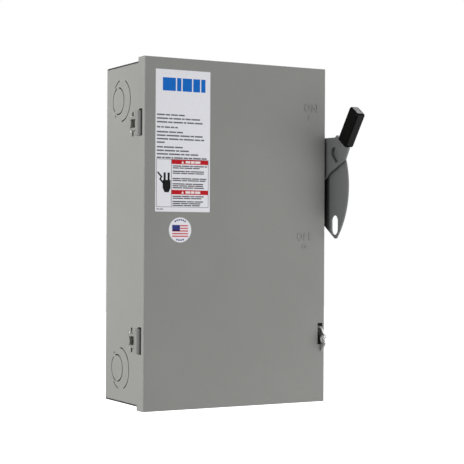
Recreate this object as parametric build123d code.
from build123d import *
import math
import os

# Enclosed general-duty safety switch: a folded steel box with a hinged door,
# a latch, an outside handle and a fused two-pole knife switch inside.
# Millimetres. +X is right seen from the front, +Y goes into the wall, +Z is up.
# The origin is the middle of the four mounting holes, on the back plane.

# Sheet steel and the box
SHEET = 1.2
BEND = 1.4
BODY_LEFT = -108.4
BODY_RIGHT = 107.4
LEFT_INSIDE = BODY_LEFT + SHEET
RIGHT_INSIDE = BODY_RIGHT - SHEET
BODY_FRONT = -96.0
BODY_HALF_H = 178.9
WRAP_HALF_H = BODY_HALF_H - SHEET
LIP = 12.0
TAB = 12.0
END_SETBACK = 0.8
MOUNT_X = 79.4
MOUNT_Z = 152.4
MOUNT_HOLE_R = 3.55

# Knockouts: a large disc and a small one that share their back edge
KNOCKOUT_SMALL_R = 14.1
KNOCKOUT_LARGE_R = 22.1
KNOCKOUT_TANGENT = -17.0
KNOCKOUT_UPPER_Z = 141.5
KNOCKOUT_LOWER_Z = -142.8
KNOCKOUT_SLIT = 1.35
SMALL_TIE = 4.4
SMALL_TIE_UPPER = 1.0
SMALL_TIE_LOWER = 6.5
LARGE_TIE = 14.5
LARGE_TIE_UPPER = -2.0
LARGE_TIE_LOWER = 7.0
SHARED_HALF_H = 14.8
HALF_INCH_R = 11.1

# Door
DOOR_HALF_W = 110.0
DOOR_HALF_H = 182.5
DOOR_FRONT = -99.5
DOOR_DEPTH = 15.4
DOOR_BACK = DOOR_FRONT + DOOR_DEPTH
DOOR_INNER = DOOR_FRONT + SHEET
DOOR_SIDE_BEND = 2.0
DOOR_END_BEND = 1.3
LETTER_RAISE = 0.6
LABEL_T = 0.15

# Door hinges, upper and lower
HINGE_X = -110.1
HINGE_Y = -67.9
HINGE_Z = (114.4, -110.7)
HINGE_PIN_R = 0.9
HINGE_PIN_HALF_H = 8.0
LEAF_HALF_H = 12.9
LEAF_T = 1.2
LEAF_X = -111.2
LEAF_NOTCH = -80.6
LEAF_RAMP_BACK = -86.0
LEAF_RAMP_FRONT = -89.9
LEAF_RAMP_X = -108.6
LEAF_INNER_X = -105.6
LEAF_INNER_Y = -89.4
ARM_NEAR = 4.5
ARM_FAR = 7.4
BARREL_R = 1.5
HOOD_HALF_H = 4.2
HOOD_FRONT = -72.0
HOOD_T = 1.8
HOOD_HOLE_FRONT = -72.6
HOOD_HOLE_BACK = -64.9
WALL_SLIT_OFFSET = 10.6
WALL_SLIT_HALF_H = 2.2
WALL_SLIT_FRONT = -69.6
WALL_SLIT_BACK = -66.2
RUNNING_GAP = 0.05
SLOT_BACK = -86.3
SLOT_FRONT = -94.3
SLOT_BELOW = 13.5
SLOT_ABOVE = 14.6
LEAF_ROOM_BACK = -86.2

# Door latch
LATCH_Y = -92.0
LATCH_Z = -101.0
LATCH_X = 104.5
LATCH_T = 2.0
LATCH_PIN_R = 1.5
EYE_Y = -105.1
EYE_Z = -113.7
EYE_R = 4.35
EYE_HOLE_R = 2.2
NOTCH_LEFT = 100.8
NOTCH_RIGHT = 107.2
NOTCH_TOP = -96.4
NOTCH_BOTTOM = -119.6

# Handle and its fixed guard, on the right side wall
PIVOT_Y = -53.0
PIVOT_Z = 53.0
SHAFT_R = 5.0
LEVER_X = 111.8
LEVER_T = 2.6
HUB_R = 14.0
GUARD_X = 115.9
GUARD_T = 1.8
SHAFT_END = GUARD_X + GUARD_T + 0.4
GUARD_R = 82.0
GUARD_SLOT_W = 13.0
LEVER_SLOT_W = 11.0
GRIP_ANGLE = 54.8
GRIP_BASE = (-131.9, 98.7)
GRIP_L = 42.0
GRIP_W = 17.5
GRIP_T = 11.5
GRIP_X = 114.2
GRIP_ROUND = 2.6
EDGE_ROUND = 0.35
FOOT_FRONT = -28.0
FOOT_BACK = -11.0
FOOT_LOW = 36.0
FOOT_HIGH = 70.0
FOOT_T = 2.0
GUARD_SCREW_Y = -18.0
GUARD_SCREW_Z = (42.0, 64.0)
GUARD_SCREW_R = 2.5

# Switch mechanism inside
BASE_BACK = -10.0
BASE_FRONT = -22.0
STRAP_FRONT = -24.0
POLES = {"left": 5.0, "right": 60.0}
BLADE_T = 2.5
BLADE_W = 14.0
BLADE_L = 38.0
BLADE_HUB_R = 14.0
CROSSBAR_R = 8.0
JAW_GAP = 0.2
JAW_T = 1.5
FUSE_Y = -40.0
FUSE_R = 10.3
FUSE_TOP = 22.0
FUSE_BOTTOM = -54.0
FERRULE_L = 14.0
CLIP_GAP = 0.3
LUG_WIRE_R = 4.5
LUG_SCREW_R = 3.5
LINE_LUG_Z = 108.0
LOAD_LUG_Z = -86.0
NEUTRAL_X = -75.0
NEUTRAL_FRONT = -25.0
NEUTRAL_LUG_Z = (-14.0, 16.0, 46.0)
GROUND_LUG_Z = -110.0
RIB_X = (-12.0, 32.5, 75.5)
BASE_SCREW_X = (-33.0, 85.0)
BASE_SCREW_Z = (-92.0, 84.0)
BASE_SCREW_R = 2.4


def block(x0, x1, y0, y1, z0, z1):
    """Box between two opposite corners."""
    middle = Pos((x0 + x1) / 2, (y0 + y1) / 2, (z0 + z1) / 2)
    return middle * Box(abs(x1 - x0), abs(y1 - y0), abs(z1 - z0))


def rod_x(x0, x1, y, z, radius):
    """Round bar along X."""
    return Pos((x0 + x1) / 2, y, z) * Rot(0, 90, 0) * Cylinder(radius, abs(x1 - x0))


def rod_y(x, y0, y1, z, radius):
    """Round bar along Y."""
    return Pos(x, (y0 + y1) / 2, z) * Rot(90, 0, 0) * Cylinder(radius, abs(y1 - y0))


def rod_z(x, y, z0, z1, radius):
    """Round bar along Z."""
    return Pos(x, y, (z0 + z1) / 2) * Cylinder(radius, abs(z1 - z0))


def side_plate(outline, x0, thickness):
    """Plate in the Y-Z plane from a list of (y, z) corners or a ready sketch."""
    if isinstance(outline, list):
        outline = make_face(Polyline(*outline, close=True))
    return extrude(Plane.YZ.offset(x0) * outline, amount=thickness)


def knockout_slit(radius, tie, upper_shift=0.0, lower_shift=0.0):
    """Ring cutter along Z, broken by two ties that keep the disc in the sheet."""
    ring = Cylinder(radius + KNOCKOUT_SLIT / 2, 6) - Cylinder(radius - KNOCKOUT_SLIT / 2, 6)
    ring -= Pos(upper_shift, radius, 0) * Box(tie, radius, 8)
    return ring - Pos(lower_shift, -radius, 0) * Box(tie, radius, 8)


def knockout_pair(towards_back):
    """Two ring cutters; local +X points to the edge where the small one takes over."""
    small = knockout_slit(KNOCKOUT_SMALL_R, SMALL_TIE, SMALL_TIE_UPPER, SMALL_TIE_LOWER)
    large = knockout_slit(KNOCKOUT_LARGE_R, LARGE_TIE, LARGE_TIE_UPPER, LARGE_TIE_LOWER)
    large -= Pos(KNOCKOUT_LARGE_R, 0, 0) * Box(KNOCKOUT_LARGE_R, 2 * SHARED_HALF_H, 8)
    small = Pos(towards_back - KNOCKOUT_SMALL_R, 0, 0) * small
    return small + Pos(towards_back - KNOCKOUT_LARGE_R, 0, 0) * large


def wrap_cutters():
    """Everything that is punched out of the folded wrap."""
    cutters = []
    for x in (-MOUNT_X, MOUNT_X):
        for z in (-MOUNT_Z, MOUNT_Z):
            cutters.append(rod_y(x, -5, 5, z, MOUNT_HOLE_R))
    # side-wall knockouts lie in the Y-Z plane, the back ones in the X-Z plane
    pair = knockout_pair(KNOCKOUT_TANGENT)
    for x in (BODY_LEFT, BODY_RIGHT):
        on_wall = Plane(origin=(x, 0, 0), x_dir=(0, 1, 0), z_dir=(1, 0, 0))
        upright = on_wall.location * pair
        cutters.append(Pos(0, 0, KNOCKOUT_UPPER_Z) * upright)
        cutters.append(Pos(0, 0, KNOCKOUT_LOWER_Z) * mirror(upright, Plane.XY))
    for z in (KNOCKOUT_LOWER_Z, KNOCKOUT_UPPER_Z):
        cutters.append(Pos(0, 0, z) * Rot(90, 0, 0) * knockout_slit(KNOCKOUT_SMALL_R, SMALL_TIE))
    # hinges: hole under the hood, two slits beside it, and room for the leaf's inner end
    for z in HINGE_Z:
        low = z - HOOD_HALF_H - 0.1
        high = z + HOOD_HALF_H + 0.1
        cutters.append(block(-112, -104, HOOD_HOLE_FRONT, HOOD_HOLE_BACK, low, high))
        for offset in (-WALL_SLIT_OFFSET, WALL_SLIT_OFFSET):
            low = z + offset - WALL_SLIT_HALF_H
            high = z + offset + WALL_SLIT_HALF_H
            cutters.append(block(-112, -104, WALL_SLIT_FRONT, WALL_SLIT_BACK, low, high))
        cutters.append(block(-112, -93, -97, LEAF_ROOM_BACK, z - 16, z + 16))
    # handle bushing, guard screws, and the pocket the latch works in
    cutters.append(rod_x(100, 112, PIVOT_Y, PIVOT_Z, 9))
    for z in GUARD_SCREW_Z:
        cutters.append(rod_x(100, 112, GUARD_SCREW_Y, z, GUARD_SCREW_R))
    cutters.append(block(94, 110, -97, -86, -129, -91))
    return cutters


def enclosure_wrap():
    """Back, both side walls and the front lips, folded from one sheet."""
    left = BODY_LEFT + SHEET / 2
    right = BODY_RIGHT - SHEET / 2
    front = BODY_FRONT + SHEET / 2
    back = -SHEET / 2
    corners = [(BODY_LEFT + LIP, front), (left, front), (left, back)]
    corners += [(right, back), (right, front), (BODY_RIGHT - LIP, front)]
    profile = trace(FilletPolyline(*corners, radius=BEND), line_width=SHEET)
    wrap = Pos(0, 0, -WRAP_HALF_H) * extrude(profile, amount=2 * WRAP_HALF_H, dir=(0, 0, 1))
    for cutter in wrap_cutters():
        wrap = wrap - cutter
    return wrap


def end_wall(up):
    """Top (up = 1) or bottom (up = -1) wall with four welding tabs turned in."""
    left = BODY_LEFT + END_SETBACK
    right = BODY_RIGHT - END_SETBACK
    low = WRAP_HALF_H - TAB
    wall = block(left, right, BODY_FRONT, -END_SETBACK, WRAP_HALF_H, BODY_HALF_H)
    wall += block(LEFT_INSIDE, LEFT_INSIDE + SHEET, -92, -4, low, WRAP_HALF_H)
    wall += block(RIGHT_INSIDE - SHEET, RIGHT_INSIDE, -92, -4, low, WRAP_HALF_H)
    wall += block(-95, 95, -2 * SHEET, -SHEET, low, WRAP_HALF_H)
    wall += block(-94.6, 94.6, BODY_FRONT, BODY_FRONT + SHEET, low, WRAP_HALF_H)
    on_wall = Plane(origin=(0, 0, BODY_HALF_H), x_dir=(0, 1, 0), z_dir=(0, 0, 1))
    wall -= on_wall.location * knockout_pair(KNOCKOUT_TANGENT)
    for x in (-62, 62):
        wall -= Pos(x, -38, BODY_HALF_H) * knockout_slit(HALF_INCH_R, SMALL_TIE)
    if up < 0:
        wall = mirror(wall, Plane.XY)
    return wall


def stroke(x0, z0, x1, z1, width=1.5):
    """One raised straight stroke of a letter on the door face."""
    length = math.hypot(x1 - x0, z1 - z0) + width
    angle = math.degrees(math.atan2(z1 - z0, x1 - x0))
    bar = extrude(SlotOverall(length, width), amount=LETTER_RAISE + 0.2)
    place = Plane(origin=((x0 + x1) / 2, DOOR_FRONT + 0.2, (z0 + z1) / 2), x_dir=(1, 0, 0), z_dir=(0, -1, 0))
    return place.location * Rot(0, 0, angle) * bar


def letter_o(x, z, width, height, line=1.5):
    """Raised oval ring centred at (x, z)."""
    ring = Ellipse(width / 2, height / 2) - Ellipse(width / 2 - line, height / 2 - line)
    place = Plane(origin=(x, DOOR_FRONT + 0.2, z), x_dir=(1, 0, 0), z_dir=(0, -1, 0))
    return place.location * extrude(ring, amount=LETTER_RAISE + 0.2)


def letter_n(x, z, width, height):
    """Raised capital N with its lower left corner at (x, z)."""
    left = stroke(x, z, x, z + height)
    right = stroke(x + width, z, x + width, z + height)
    return left + right + stroke(x, z + height, x + width, z)


def letter_f(x, z, width, height):
    """Raised capital F with its lower left corner at (x, z)."""
    stem = stroke(x, z, x, z + height)
    top = stroke(x, z + height, x + width, z + height)
    return stem + top + stroke(x, z + height * 0.55, x + width * 0.8, z + height * 0.55)


def position_marks():
    """ON with a bar near the handle's upper place, OFF with a ring near its lower one."""
    marks = letter_o(86.4, 138.6, 7.6, 9.0) + letter_n(93.0, 134.9, 5.8, 7.4)
    marks += stroke(88.2, 125.8, 88.2, 130.2)
    marks += letter_o(77.6, -2.0, 6.8, 8.8)
    marks += letter_f(83.4, -5.6, 3.2, 7.2) + letter_f(89.8, -5.6, 3.2, 7.2)
    marks += letter_o(83.0, -12.4, 5.4, 5.8, 1.3)
    return marks


def folded_pan(inset, back):
    """Solid pan shape, set in by a distance; its front edges are bent, its corners mitred."""
    half = DOOR_HALF_W - inset
    tall = DOOR_HALF_H - inset
    front = DOOR_FRONT + inset
    across = block(-half, half, front, back, -2 * tall, 2 * tall)
    across = fillet(across.edges().filter_by(Axis.Z).sort_by(Axis.Y)[:2], DOOR_SIDE_BEND - inset)
    upright = block(-2 * half, 2 * half, front, back, -tall, tall)
    upright = fillet(upright.edges().filter_by(Axis.X).sort_by(Axis.Y)[:2], DOOR_END_BEND - inset)
    return across & upright


def door_panel():
    """Flanged door with hinge slots, the latch notch and the raised marks."""
    door = folded_pan(0, DOOR_BACK) - folded_pan(SHEET, DOOR_BACK + 5)
    for z in HINGE_Z:
        door -= block(-112, -108, SLOT_FRONT, SLOT_BACK, z - SLOT_BELOW, z + SLOT_ABOVE)
    door -= block(NOTCH_LEFT, NOTCH_RIGHT, -101, -97.5, NOTCH_BOTTOM, NOTCH_TOP)
    return door + position_marks()


def safety_label():
    """Blank rectangular label on the door."""
    return block(-97.5, -34, DOOR_FRONT - LABEL_T, DOOR_FRONT, 23, 170)


def round_sticker():
    """Blank round sticker below the label."""
    return rod_y(-68.6, DOOR_FRONT - LABEL_T, DOOR_FRONT, 4.2, 13)


def hinge_leaf(z):
    """Door leaf: two arms with barrels, and a strip that ramps down through the flange slot."""
    foot_y = DOOR_INNER + LEAF_T / 2
    corners = [(LEAF_X, HINGE_Y), (LEAF_X, LEAF_RAMP_BACK), (LEAF_RAMP_X, LEAF_RAMP_FRONT)]
    corners += [(LEAF_INNER_X, LEAF_INNER_Y), (LEAF_INNER_X, foot_y), (-98.0, foot_y)]
    path = trace(FilletPolyline(*corners, radius=1.2), line_width=LEAF_T)
    leaf = Pos(0, 0, z - LEAF_HALF_H) * extrude(path, amount=2 * LEAF_HALF_H, dir=(0, 0, 1))
    leaf -= block(-114, -109, LEAF_NOTCH, -60, z - ARM_NEAR, z + ARM_NEAR)
    for side in (-1, 1):
        near = z + side * ARM_NEAR
        far = z + side * ARM_FAR
        leaf -= block(-114, -109, LEAF_NOTCH, -60, far, z + side * 20)
        leaf += rod_z(HINGE_X, HINGE_Y, near, far, BARREL_R)
    return leaf - rod_z(HINGE_X, HINGE_Y, z - 9, z + 9, HINGE_PIN_R)


def hinge_pin(z):
    """Pin held in the leaf's barrels."""
    return rod_z(HINGE_X, HINGE_Y, z - HINGE_PIN_HALF_H, z + HINGE_PIN_HALF_H, HINGE_PIN_R)


def hinge_hood(z):
    """Hook on the side wall that wraps the pin, open to the front, with its plate inside."""
    low = z - HOOD_HALF_H
    high = z + HOOD_HALF_H
    bore_r = HINGE_PIN_R + RUNNING_GAP
    outer_r = bore_r + HOOD_T
    skin = HINGE_X - outer_r
    leg = HINGE_Y + outer_r
    hood = rod_z(HINGE_X, HINGE_Y, low, high, outer_r)
    hood -= block(HINGE_X, -100, -75, HINGE_Y, low, high)
    hood += block(skin, HINGE_X - bore_r, HOOD_FRONT, HINGE_Y, low, high)
    hood += block(HINGE_X, LEFT_INSIDE, leg - HOOD_T, leg, low, high)
    hood -= rod_z(HINGE_X, HINGE_Y, low, high, bore_r)
    hood -= block(HINGE_X - bore_r, HINGE_X, -75, HINGE_Y, low, high)
    hood -= block(HINGE_X, -105, -75, leg - HOOD_T, low, high)
    tips = hood.edges().filter_by(Axis.X).group_by(Axis.Y)[0]
    hood = fillet(tips, 1.8)
    plate_front = HOOD_HOLE_FRONT - 1.4
    return hood + block(LEFT_INSIDE, LEFT_INSIDE + HOOD_T, plate_front, leg + 4, low - 1, high + 1)


def latch_bracket():
    """Angle welded behind the door that carries the latch pin."""
    bracket = block(98.6, 100.3, DOOR_INNER, -88, -110, -94)
    bracket += block(90, 98.6, DOOR_INNER, DOOR_INNER + 1.2, -110, -94)
    return bracket - rod_x(95, 103, LATCH_Y, LATCH_Z, LATCH_PIN_R)


def latch_pin():
    """Pin across the latch pocket."""
    return rod_x(97.8, 108.2, LATCH_Y, LATCH_Z, LATCH_PIN_R)


def latch_lever():
    """Flat hook with a raised, dished button, its lower tip resting over the door face."""
    outline = [(-91.0, -97.1), (-95.6, -97.9), (-98.6, -100.0), (-106.6, -108.6)]
    outline += [(-109.0, -112.0), (-109.3, -115.0), (-108.2, -118.0), (-101.2, -127.2)]
    outline += [(-99.9, -126.4), (-99.9, -119.2), (-96.6, -118.0), (-93.4, -111.0), (-91.2, -104.9)]
    lever = side_plate(outline, LATCH_X, LATCH_T)
    lever += rod_x(LATCH_X, LATCH_X + LATCH_T, LATCH_Y, LATCH_Z, 4.0)
    ring = rod_x(LATCH_X - 1.0, LATCH_X + LATCH_T, EYE_Y, EYE_Z, EYE_R)
    ring -= rod_x(100, LATCH_X + 0.6, EYE_Y, EYE_Z, EYE_HOLE_R)
    ring = fillet(ring.faces().filter_by(Axis.X).sort_by(Axis.X)[0].edges(), 0.9)
    lever = lever - rod_x(100, 110, EYE_Y, EYE_Z, EYE_R) + ring
    return lever - rod_x(100, 110, LATCH_Y, LATCH_Z, LATCH_PIN_R + RUNNING_GAP)


def latch_strike():
    """Small angle inside the right wall behind the latch pocket."""
    strike = block(RIGHT_INSIDE - 2, RIGHT_INSIDE, -85, -66, -120, -100)
    return strike + block(97, RIGHT_INSIDE - 2, -85, -83, -120, -100)


def handle_bushing():
    """Flanged bearing for the handle shaft in the right wall."""
    bushing = rod_x(RIGHT_INSIDE - 2, RIGHT_INSIDE, PIVOT_Y, PIVOT_Z, 13)
    bushing += rod_x(RIGHT_INSIDE, BODY_RIGHT, PIVOT_Y, PIVOT_Z, 9)
    bushing += rod_x(BODY_RIGHT, BODY_RIGHT + 2, PIVOT_Y, PIVOT_Z, 12)
    return bushing - rod_x(100, 112, PIVOT_Y, PIVOT_Z, SHAFT_R + RUNNING_GAP)


def slot_cutter(y, z, length, width, angle, x0, depth):
    """Long hole through a side plate; angle 90 stands upright."""
    slot = Pos(y, z) * Rot(0, 0, angle) * SlotOverall(length, width)
    return extrude(Plane.YZ.offset(x0) * slot, amount=depth)


def softened(plate):
    """Round the two outlines of a flat side plate slightly."""
    faces = plate.faces().filter_by(Axis.X).sort_by(Axis.X)
    edges = faces[0].outer_wire().edges() + faces[-1].outer_wire().edges()
    return fillet(edges, EDGE_ROUND)


def guard_plate():
    """Fixed sector plate outside the lever, with a foot on the side wall."""
    inner = FOOT_FRONT + FOOT_T
    corners = [(inner, FOOT_LOW), (-56.7, 31.7), (-140.7, -25.2), (-140.7, 127)]
    corners += [(-56.7, 74.3), (inner, FOOT_HIGH)]
    fan = make_face(Polyline(*corners, close=True))
    disc = Pos(PIVOT_Y, PIVOT_Z) * Circle(GUARD_R)
    face = fan & disc
    tips = face.vertices().sort_by(Axis.X)[:2]
    face = fillet(tips, 4.2)
    guard = softened(side_plate(face, GUARD_X, GUARD_T))
    guard += block(BODY_RIGHT, GUARD_X + GUARD_T, FOOT_FRONT, inner, FOOT_LOW, FOOT_HIGH)
    guard += block(BODY_RIGHT, BODY_RIGHT + FOOT_T, FOOT_FRONT, FOOT_BACK, FOOT_LOW, FOOT_HIGH)
    guard -= slot_cutter(-109.2, 11.0, 21.7, GUARD_SLOT_W, 90, 110, 20)
    guard -= rod_x(110, 125, PIVOT_Y, PIVOT_Z, SHAFT_R + RUNNING_GAP)
    for z in GUARD_SCREW_Z:
        guard -= rod_x(100, 112, GUARD_SCREW_Y, z, GUARD_SCREW_R)
    return guard


def guard_screws():
    """Two screws that hold the guard's foot to the wall."""
    screws = []
    head = BODY_RIGHT + FOOT_T
    for z in GUARD_SCREW_Z:
        screw = rod_x(103.0, head, GUARD_SCREW_Y, z, GUARD_SCREW_R)
        screw += rod_x(head, head + 2.2, GUARD_SCREW_Y, z, 4.5)
        screw += rod_x(RIGHT_INSIDE - 2.5, RIGHT_INSIDE, GUARD_SCREW_Y, z, 4.2)
        screws.append(screw)
    return Compound(children=screws)


def along_grip(distance, across):
    """Point a distance along the grip and across it, as (y, z)."""
    angle = math.radians(GRIP_ANGLE)
    y = GRIP_BASE[0] - distance * math.cos(angle) + across * math.sin(angle)
    z = GRIP_BASE[1] + distance * math.sin(angle) + across * math.cos(angle)
    return (y, z)


def handle_lever():
    """Flat lever with a padlock slot and a tongue that carries the grip."""
    outline = [(-47, 40.5), (-97.7, 63), (-102.1, 67.1), (-118.2, 73.9), (-134.2, 81.3), (-141.7, 94)]
    outline += [along_grip(0, -5.5), along_grip(33, -5.5), along_grip(33, 5.5), along_grip(0, 5.5)]
    outline += [(-122.4, 106.6), (-118.6, 108.8), (-115.2, 106.6), (-90, 107), (-48, 66)]
    lever = softened(side_plate(outline, LEVER_X, LEVER_T))
    lever += rod_x(LEVER_X, LEVER_X + LEVER_T, PIVOT_Y, PIVOT_Z, HUB_R)
    lever += rod_x(109.9, LEVER_X, PIVOT_Y, PIVOT_Z, 9)
    lever -= slot_cutter(-115.8, 87.5, 19.5, LEVER_SLOT_W, 48, 110, 10)
    return lever - rod_x(105, 125, PIVOT_Y, PIVOT_Z, SHAFT_R)


def handle_grip():
    """Moulded grip pushed over the lever's tongue."""
    y, z = along_grip(GRIP_L / 2, 0)
    angle = math.radians(GRIP_ANGLE)
    across = (0, math.sin(angle), math.cos(angle))
    along = (0, -math.cos(angle), math.sin(angle))
    place = Plane(origin=(GRIP_X, y, z), x_dir=across, z_dir=along)
    grip = Box(GRIP_W, GRIP_T, GRIP_L)
    grip = fillet(grip.edges(), GRIP_ROUND)
    grip = place.location * grip
    return grip - handle_lever()


def handle_shaft():
    """Round shaft with a flat drive tongue on its inner end."""
    shaft = rod_x(93, SHAFT_END, PIVOT_Y, PIVOT_Z, SHAFT_R)
    return shaft + block(86, 93, PIVOT_Y - 2, PIVOT_Y + 2, PIVOT_Z - 4.5, PIVOT_Z + 4.5)


def shaft_clip():
    """Retaining washer on the shaft's outer end."""
    return rod_x(SHAFT_END, SHAFT_END + 1.4, PIVOT_Y, PIVOT_Z, 7)


def crossbar():
    """Insulating bar that carries both blades and is turned by the shaft."""
    bar = rod_x(-20, 92.6, PIVOT_Y, PIVOT_Z, CROSSBAR_R)
    bar += rod_x(-28, -20, PIVOT_Y, PIVOT_Z, 4)
    return bar - block(85.6, 93, PIVOT_Y - 2.1, PIVOT_Y + 2.1, PIVOT_Z - 9, PIVOT_Z + 9)


def blade(x):
    """Knife blade, pointing up when the switch is closed."""
    half = BLADE_T / 2
    top = PIVOT_Z + BLADE_L
    near = PIVOT_Y + BLADE_W / 2
    far = PIVOT_Y - BLADE_W / 2
    outline = [(near, PIVOT_Z), (near, top), (far + 5, top), (far, top - 6), (far, PIVOT_Z)]
    piece = side_plate(outline, x - half, BLADE_T)
    piece += rod_x(x - half, x + half, PIVOT_Y, PIVOT_Z, BLADE_HUB_R)
    return piece - rod_x(x - 5, x + 5, PIVOT_Y, PIVOT_Z, CROSSBAR_R)


def jaw_plates(x, y0, z0, z1):
    """Two contact plates, one each side of a blade."""
    near = BLADE_T / 2 + JAW_GAP
    right = block(x + near, x + near + JAW_T, y0, STRAP_FRONT, z0, z1)
    return right + block(x - near - JAW_T, x - near, y0, STRAP_FRONT, z0, z1)


def line_jaw(x):
    """Upper contact on its strap, which runs up to the line lug."""
    strap = block(x - 8, x + 8, STRAP_FRONT, BASE_FRONT, 76, 118)
    return strap + jaw_plates(x, -61, 78, 92)


def fuse_clip(x, z0, z1):
    """Open-fronted spring clip for one end of a fuse."""
    near = FUSE_R + CLIP_GAP
    clip = block(x - near - JAW_T, x - near, -46, -28, z0, z1)
    clip += block(x + near, x + near + JAW_T, -46, -28, z0, z1)
    return clip + block(x - near - JAW_T, x + near + JAW_T, -28, STRAP_FRONT, z0, z1)


def hinge_clip(x):
    """Contact on the blade's hub, with the strap down to the upper fuse clip."""
    strap = block(x - 8, x + 8, STRAP_FRONT, BASE_FRONT, 6, 62)
    return strap + jaw_plates(x, -43.6, 46, 60) + fuse_clip(x, 9, 21)


def load_strap(x):
    """Lower fuse clip with the strap down to the load lug."""
    strap = block(x - 8, x + 8, STRAP_FRONT, BASE_FRONT, -97, -40)
    return strap + fuse_clip(x, -53, -41)


def fuse_tube(x):
    """Insulating tube of a cartridge fuse."""
    return rod_z(x, FUSE_Y, FUSE_BOTTOM + 2, FUSE_TOP - 2, FUSE_R - 0.5)


def fuse_ferrules(x):
    """Metal caps on both ends of a cartridge fuse."""
    upper = rod_z(x, FUSE_Y, FUSE_TOP - FERRULE_L, FUSE_TOP, FUSE_R)
    lower = rod_z(x, FUSE_Y, FUSE_BOTTOM, FUSE_BOTTOM + FERRULE_L, FUSE_R)
    core = fuse_tube(x)
    return Compound(children=[upper - core, lower - core])


def wire_lug(x, z, back):
    """Box lug with an upright wire hole and a threaded screw hole in front."""
    lug = block(x - 8, x + 8, back - 18, back, z - 8, z + 8)
    lug -= rod_z(x, back - 7, z - 9, z + 9, LUG_WIRE_R)
    return lug - rod_y(x, back - 19, back - 9, z, LUG_SCREW_R)


def lug_screw(x, z, back):
    """Slotted clamping screw of a lug."""
    screw = rod_y(x, back - 21, back - 12.5, z, LUG_SCREW_R)
    return screw - block(x - 4, x + 4, back - 21.5, back - 19.8, z - 0.6, z + 0.6)


def switch_base():
    """Moulded insulating base with barrier ribs and screw holes."""
    base = block(-40, 92, BASE_FRONT, BASE_BACK, -105, 125)
    for x in RIB_X:
        base += block(x - 1.5, x + 1.5, -34, BASE_FRONT, -100, 34)
        base += block(x - 1.5, x + 1.5, -50, BASE_FRONT, 98, 125)
    for x in BASE_SCREW_X:
        for z in BASE_SCREW_Z:
            base -= rod_y(x, -30, -5, z, BASE_SCREW_R)
    return base


def base_standoffs():
    """Four spacers between the base and the back wall."""
    posts = []
    for x in BASE_SCREW_X:
        for z in BASE_SCREW_Z:
            posts.append(rod_y(x, BASE_BACK, -SHEET, z, 6) - rod_y(x, -12, 0, z, BASE_SCREW_R))
    return Compound(children=posts)


def base_screws():
    """Four pan-head screws through the base into the spacers."""
    screws = []
    for x in BASE_SCREW_X:
        for z in BASE_SCREW_Z:
            head = rod_y(x, BASE_FRONT - 2.4, BASE_FRONT, z, 4.4)
            screws.append(head + rod_y(x, BASE_FRONT, -3, z, BASE_SCREW_R))
    return Compound(children=screws)


def left_bearing():
    """Angle on the base that carries the crossbar's thin end."""
    plate = block(-27.5, -24.5, -61, BASE_FRONT, 44, 62)
    plate += block(-38, -27.5, STRAP_FRONT, BASE_FRONT, 44, 62)
    return plate - rod_x(-30, -20, PIVOT_Y, PIVOT_Z, 4 + RUNNING_GAP)


def right_bearing():
    """Angle on the base that carries the crossbar beside the handle shaft."""
    plate = block(76, 79, -66, BASE_FRONT, 40, 66)
    plate += block(79, 91, STRAP_FRONT, BASE_FRONT, 40, 66)
    return plate - rod_x(70, 85, PIVOT_Y, PIVOT_Z, CROSSBAR_R + RUNNING_GAP)


def line_shield():
    """Insulating cover in front of the line lugs."""
    shield = block(-25, 87, -72, -70, 97, 140)
    for x in (-25.0, 85.5):
        shield += block(x, x + 1.5, -70, BASE_FRONT, 97, 125)
    return shield


def neutral_insulator():
    """Insulating block under the neutral bar."""
    return block(NEUTRAL_X - 17, NEUTRAL_X + 17, BASE_FRONT, -SHEET, -30, 62)


def neutral_bar():
    """Metal bar that joins the neutral lugs."""
    return block(NEUTRAL_X - 13, NEUTRAL_X + 13, NEUTRAL_FRONT, BASE_FRONT, -26, 58)


def neutral_lugs():
    """Three wire lugs on the neutral bar."""
    return Compound(children=[wire_lug(NEUTRAL_X, z, NEUTRAL_FRONT) for z in NEUTRAL_LUG_Z])


def neutral_screws():
    """Clamping screws of the neutral lugs."""
    return Compound(children=[lug_screw(NEUTRAL_X, z, NEUTRAL_FRONT) for z in NEUTRAL_LUG_Z])


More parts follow.
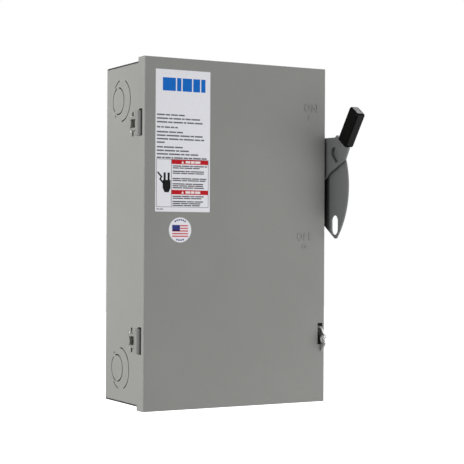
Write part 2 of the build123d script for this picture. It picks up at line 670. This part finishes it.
def all_parts():
    """Every node of the assembly by name."""
    parts = {
        "enclosure_wrap": enclosure_wrap(),
        "top_end_wall": end_wall(1),
        "bottom_end_wall": end_wall(-1),
        "door_panel": door_panel(),
        "safety_label": safety_label(),
        "round_sticker": round_sticker(),
        "latch_bracket": latch_bracket(),
        "latch_pin": latch_pin(),
        "latch_lever": latch_lever(),
        "latch_strike": latch_strike(),
        "handle_bushing": handle_bushing(),
        "guard_plate": guard_plate(),
        "guard_screws": guard_screws(),
        "handle_lever": handle_lever(),
        "handle_grip": handle_grip(),
        "handle_shaft": handle_shaft(),
        "shaft_clip": shaft_clip(),
        "crossbar": crossbar(),
        "left_bearing": left_bearing(),
        "right_bearing": right_bearing(),
        "switch_base": switch_base(),
        "base_standoffs": base_standoffs(),
        "base_screws": base_screws(),
        "line_shield": line_shield(),
        "neutral_insulator": neutral_insulator(),
        "neutral_bar": neutral_bar(),
        "neutral_lugs": neutral_lugs(),
        "neutral_screws": neutral_screws(),
        "ground_lug": wire_lug(NEUTRAL_X, GROUND_LUG_Z, -SHEET),
        "ground_screw": lug_screw(NEUTRAL_X, GROUND_LUG_Z, -SHEET),
    }
    for name, z in zip(("upper", "lower"), HINGE_Z):
        parts["hinge_leaf_" + name] = hinge_leaf(z)
        parts["hinge_pin_" + name] = hinge_pin(z)
        parts["hinge_hood_" + name] = hinge_hood(z)
    for name, x in POLES.items():
        parts["blade_" + name] = blade(x)
        parts["line_jaw_" + name] = line_jaw(x)
        parts["hinge_clip_" + name] = hinge_clip(x)
        parts["load_strap_" + name] = load_strap(x)
        parts["fuse_tube_" + name] = fuse_tube(x)
        parts["fuse_ferrules_" + name] = fuse_ferrules(x)
        parts["line_lug_" + name] = wire_lug(x, LINE_LUG_Z, STRAP_FRONT)
        parts["line_lug_screw_" + name] = lug_screw(x, LINE_LUG_Z, STRAP_FRONT)
        parts["load_lug_" + name] = wire_lug(x, LOAD_LUG_Z, STRAP_FRONT)
        parts["load_lug_screw_" + name] = lug_screw(x, LOAD_LUG_Z, STRAP_FRONT)
    return parts


os.makedirs("parts", exist_ok=True)
for node, shape in all_parts().items():
    export_step(shape, "parts/" + node + ".step")
    print(node, len(shape.solids()))
